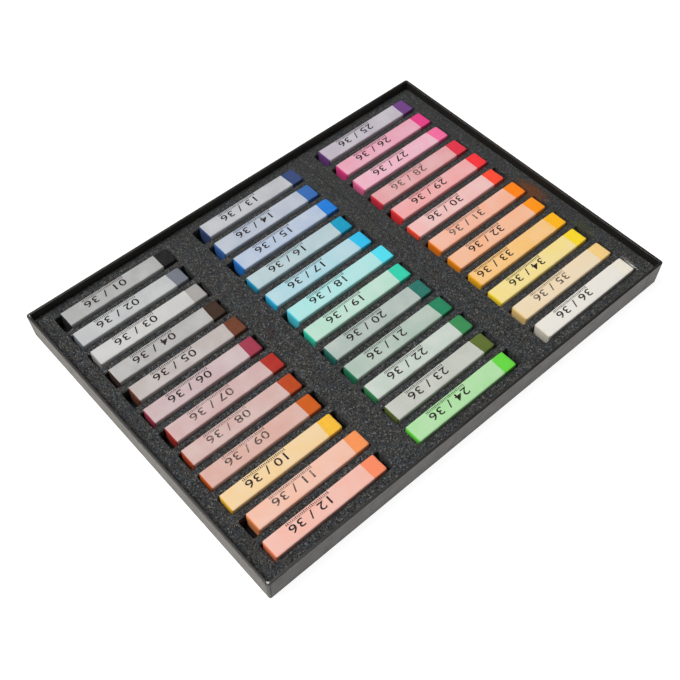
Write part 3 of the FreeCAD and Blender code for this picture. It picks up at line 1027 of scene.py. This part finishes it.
def sleeve(name, number):
    """The paper round one stick. It rides with the stick and replaces the same node."""
    low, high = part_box(name)
    middle = (low + high) / 2
    half = (high - low) / 2
    bm = bmesh.new()
    tube = [
        level_ring(bm, half.z, half.y, SLEEVE_FOLD, height, steps=3)
        for height in (SLEEVE_START, SLEEVE_LENGTH)
    ]
    bridged(bm, tube)
    bmesh.ops.rotate(bm, matrix=Matrix.Rotation(math.radians(90), 3, "Y"), verts=bm.verts)
    bmesh.ops.translate(bm, vec=(low.x, middle.y, middle.z), verts=bm.verts)
    cut_through(bm, divided([low.x + SLEEVE_START, low.x + SLEEVE_LENGTH], 3 * MM), X_AXIS)
    cut_through(bm, [middle.y + step * MM for step in (-3, -1, 1, 3)], Y_AXIS)
    chance = random.Random(100 + number)
    askew = chance.uniform(-MOST_ASKEW, MOST_ASKEW)
    for vert in bm.verts:
        across = (vert.co.y - middle.y) / half.y
        flat = max(0, 1 - across * across)
        if vert.co.z > middle.z + half.z - NEAR:
            vert.co.z += dip(vert.co, number)
        elif abs(across) > 0.99:
            vert.co.y -= math.copysign(SINKING, across) * abs(noise.noise(vert.co / (9 * MM)))
        if vert.co.x > low.x + SLEEVE_LENGTH - NEAR:
            ripple = noise.noise(vert.co / (2.2 * MM)) * RIPPLE
            vert.co.x += askew * across + ripple - abs(askew) * flat * 0.2
    thickened(bm, Z_AXIS, PAPER)
    seam = (low.x + SLEEVE_LENGTH / 2, low.y - PAPER * 0.3, low.z + SLEEVE_FOLD + GLUED / 2)
    block(bm, (SLEEVE_LENGTH - 2 * MM, PAPER * 0.7, GLUED), seam)
    paper = sleeve_paper(f"sleeve_paper_{number:02d}", number, pigments[name], middle, half)
    piece = evened(finished(f"sleeve_{number:02d}", bm, paper))
    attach(piece, name)
    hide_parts(name)
    return piece


# %% Model all sleeves
for number, name in enumerate(PASTELS, start=1):
    piece = sleeve(name, number)
print("sleeves:", len(PASTELS), "of", len(piece.data.polygons), "faces each")

# %% [markdown]
# ## The print
#
# Each sleeve carries a plain number, with a rule and a row of fine ticks beside
# it, in dark ink that didn't take evenly. Painting it in the material would need
# a picture. Here the number is a text object made into a mesh: a very thin slab,
# half sunk in the paper, that follows the dip of the sleeve. The print reads
# towards the far end of the stick, so it is turned by half a turn.

# %% Make the inks
def ink(name, dark, worn, bare):
    """Dark ink that lets the paper show through where it is worn."""
    material, tree, shader, place = new_finish(name, 0.7, 0.2)
    patchy = clouds(tree, enlarged(tree, place, 0.0022), detail=5.0, roughness=0.7)
    cover = fade(tree, patchy, bare, bare + 0.2)
    feed(tree, shader["Base Color"], blended(tree, cover, worn, dark))
    fibres = placed(tree, paper_fibres, place, Fibre_Size=0.0008)
    bumped(tree, shader, fibres["Height"], 0.00002, 0.4)
    return material


full_ink = ink("full_ink", (0.022, 0.015, 0.014), (0.16, 0.12, 0.11), 0.28)
thin_ink = ink("thin_ink", (0.075, 0.050, 0.045), (0.34, 0.25, 0.22), 0.36)
FAINT_PRINTS = (7, 8, 9, 11, 28, 31, 35)
print("inks:", full_ink.name, thin_ink.name)


# %% Model one print
FIGURE_SIZE = 6.0 * MM
FIGURE_WEIGHT = 0.05 * MM
FIGURE_STRETCH = 1.38
PRINT_START = 37.2 * MM
PRINT_RISE = 2.6 * MM
INK_DEPTH = 0.05 * MM
RULE_WIDTH = 0.16 * MM
RULE_DROP = 0.72 * MM
TICKS = 27
TICK_WIDTH = 0.42 * MM
TICK_DROP = 1.45 * MM
LONG_TICK = 1.15 * MM
SHORT_TICK = 0.8 * MM


def printed(name, number, shift=0.0):
    """The number, rule and ticks on one sleeve."""
    low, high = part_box(name)
    words = bpy.data.curves.new("figures", "FONT")
    words.body = f"{number:02d} / {len(PASTELS)}"
    words.size = FIGURE_SIZE
    words.space_character = 1.06
    words.offset = FIGURE_WEIGHT
    words.extrude = INK_DEPTH / 2
    words.resolution_u = 3
    setter = linked("figures", words)
    bpy.context.view_layer.update()
    figures = bpy.data.meshes.new_from_object(setter)
    bpy.data.objects.remove(setter)
    bm = bmesh.new()
    bm.from_mesh(figures)
    bmesh.ops.remove_doubles(bm, verts=bm.verts, dist=1e-6)
    bmesh.ops.scale(bm, vec=(FIGURE_STRETCH, 1, 1), verts=bm.verts)
    width = max(vert.co.x for vert in bm.verts)
    for tick in range(TICKS):
        tall = LONG_TICK if tick % 5 == 0 else SHORT_TICK
        along = width * (tick + 0.5) / TICKS
        block(bm, (TICK_WIDTH, tall, INK_DEPTH), (along, -TICK_DROP, 0))
    block(bm, (width, RULE_WIDTH, INK_DEPTH), (width / 2, -RULE_DROP, 0))
    bmesh.ops.rotate(bm, matrix=Matrix.Rotation(math.pi, 3, "Z"), verts=bm.verts)
    start = Vector((low.x + PRINT_START - shift, (low.y + high.y) / 2 + PRINT_RISE, high.z))
    bmesh.ops.translate(bm, vec=start, verts=bm.verts)
    for vert in bm.verts:
        vert.co.z += dip(vert.co, number)
    ink_used = thin_ink if number in FAINT_PRINTS else full_ink
    piece = finished(f"print_{number:02d}", bm, ink_used, smooth=False)
    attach(piece, name)
    return piece


# %% Model all prints
SHIFTED_PRINTS = {33: 9 * MM}
for number, name in enumerate(PASTELS, start=1):
    piece = printed(name, number, SHIFTED_PRINTS.get(number, 0))
print("prints:", len(PASTELS), "of", len(piece.data.polygons), "faces each")

# %% [markdown]
# ## Crumbs of chalk
#
# Small crumbs lie on the foam where sticks have been pulled out and put back. An
# icosphere with 20 faces is enough for a crumb, because each one is smaller than
# a grain of sand. Its points are pushed about by chance, it is squashed and
# turned, and each heap of crumbs is one object in the chalk of its stick.

# %% Make the crumb finish
def crumb_chalk(name, colour):
    """Loose chalk."""
    material, tree, shader, place = new_finish(name, 0.95, 0.1)
    grain = placed(tree, chalk_grain, place, Grain_Size=0.0002)
    feed(tree, shader["Base Color"], blended(tree, grain["Tone"], darker(colour, 0.2), colour))
    bumped(tree, shader, grain["Height"], 0.00005, 0.5)
    return material


def crumbs(name, colour, middle, spread, count, biggest, seed):
    """A loose heap of crumbs on the foam, denser in its middle, in millimetres."""
    chance = random.Random(seed)
    bm = bmesh.new()
    for _ in range(count):
        size = biggest * chance.uniform(0.35, 1) * MM
        ball = bmesh.ops.create_icosphere(bm, subdivisions=1, radius=size / 2)
        for vert in ball["verts"]:
            vert.co *= chance.uniform(0.7, 1.25)
        turn = Matrix.Rotation(chance.uniform(0, math.tau), 3, "Z")
        squash = (1, chance.uniform(0.5, 1), chance.uniform(0.4, 0.8))
        bmesh.ops.scale(bm, vec=squash, verts=ball["verts"])
        bmesh.ops.rotate(bm, matrix=turn, verts=ball["verts"])
        x = middle[0] + chance.gauss(0, spread[0] / 2)
        y = middle[1] + chance.gauss(0, spread[1] / 2)
        resting = foam_top + size * 0.15
        bmesh.ops.translate(bm, vec=(x * MM, y * MM, resting), verts=ball["verts"])
    piece = finished(name, bm, crumb_chalk(f"{name}_chalk", colour), smooth=False)
    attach(piece, "tray")
    print(name, "has", count, "crumbs")


# %% Scatter the crumbs
crumbs("crumbs_white", (0.80, 0.79, 0.76), (121.0, -83.8), (0.3, 4.2), 110, 0.5, 11)
crumbs("crumbs_grey", (0.45, 0.44, 0.42), (123.2, -77.5), (2.2, 2.6), 22, 0.38, 15)
crumbs("crumbs_peach", (0.85, 0.42, 0.25), (-121.8, -62.0), (1.6, 0.9), 16, 0.4, 12)
crumbs("crumbs_lemon", (0.55, 0.52, 0.16), (122.6, -56.5), (1.0, 2.2), 18, 0.35, 13)
crumbs("crumbs_cream", (0.80, 0.66, 0.42), (50.9, -66.5), (0.7, 5.0), 24, 0.35, 14)

# %% [markdown]
# ## Floor and light
#
# The tray lies on a white table under soft light from above and a little behind.
# A lamp strong enough to burn the table white would also burn the sleeves.
# Instead, the camera and mirror rays see extra brightness on the floor and in
# the sky, and the light that falls on the object stays plain: a surface that
# faces up renders about as its colour is written, and the floor keeps a faint
# shadow of the tray.

# %% Lay the floor
FLOOR_REACH = 3
FLOOR_DROP = 0.05 * MM
FLOOR_SEEN = 0.76
FLOOR_BURNT = 0.14
bm = bmesh.new()
sheet(bm, FLOOR_REACH, FLOOR_REACH, (0, 0, -FLOOR_DROP))
floor_mesh = bpy.data.meshes.new("table")
bm.to_mesh(floor_mesh)
bm.free()
floor = linked("table", floor_mesh)


def seen_directly(tree):
    """1 for camera, mirror and glass rays, 0 for light between objects."""
    rays = tree.nodes.new("ShaderNodeLightPath").outputs
    direct = maths(tree, "MAXIMUM", rays["Is Camera Ray"], rays["Is Glossy Ray"])
    return maths(tree, "MAXIMUM", direct, rays["Is Transmission Ray"])


table_white = bpy.data.materials.new("table_white")
table_white.use_nodes = True
tree = table_white.node_tree
shader = tree.nodes["Principled BSDF"].inputs
shader["Base Color"].default_value = (0.28, 0.28, 0.28, 1)
shader["Roughness"].default_value = 1.0
shader["Specular IOR Level"].default_value = 0.0
shader["Emission Color"].default_value = (1, 1, 1, 1)
camera_only = tree.nodes.new("ShaderNodeLightPath").outputs["Is Camera Ray"]
burnt_out = maths(tree, "MULTIPLY", camera_only, FLOOR_BURNT)
feed(tree, shader["Emission Strength"], maths(
    tree, "MULTIPLY_ADD", seen_directly(tree), FLOOR_SEEN, burnt_out))
floor_mesh.materials.append(table_white)
print("floor ready")

# %% Light the scene
SKY_LIGHT = 0.24
LAMP_SHARE = 0.88
LAMP_SIZE = 1.8
LAMP_PLACE = Vector((-1.15, 0.9, 2.75))
world = bpy.data.worlds.new("studio")
bpy.context.scene.world = world
world.use_nodes = True
tree = world.node_tree
sky = tree.nodes["Background"].inputs
sky["Color"].default_value = (1, 1, 1, 1)
direction = parted(tree, tree.nodes.new("ShaderNodeTexCoord").outputs["Generated"])
seen_sky = fade(tree, direction["Z"], 0.15, 0.5, 1.0, 0.02)
seen = seen_directly(tree)
feed(tree, sky["Strength"], maths(tree, "MULTIPLY_ADD", seen, seen_sky, maths(
    tree, "MULTIPLY", maths(tree, "SUBTRACT", 1.0, seen), SKY_LIGHT)))

lamp_data = bpy.data.lights.new("soft_lamp", "AREA")
lamp_data.shape = "SQUARE"
lamp_data.size = LAMP_SIZE
slant = LAMP_PLACE.normalized().z
lamp_data.energy = math.pi ** 2 * LAMP_PLACE.length_squared * LAMP_SHARE / slant
lamp = linked("soft_lamp", lamp_data)
lamp_turn = LAMP_PLACE.to_track_quat("Z", "Y").to_matrix().to_4x4()
lamp.matrix_world = Matrix.Translation(LAMP_PLACE) @ lamp_turn
print("lamp:", round(lamp_data.energy, 1), "W")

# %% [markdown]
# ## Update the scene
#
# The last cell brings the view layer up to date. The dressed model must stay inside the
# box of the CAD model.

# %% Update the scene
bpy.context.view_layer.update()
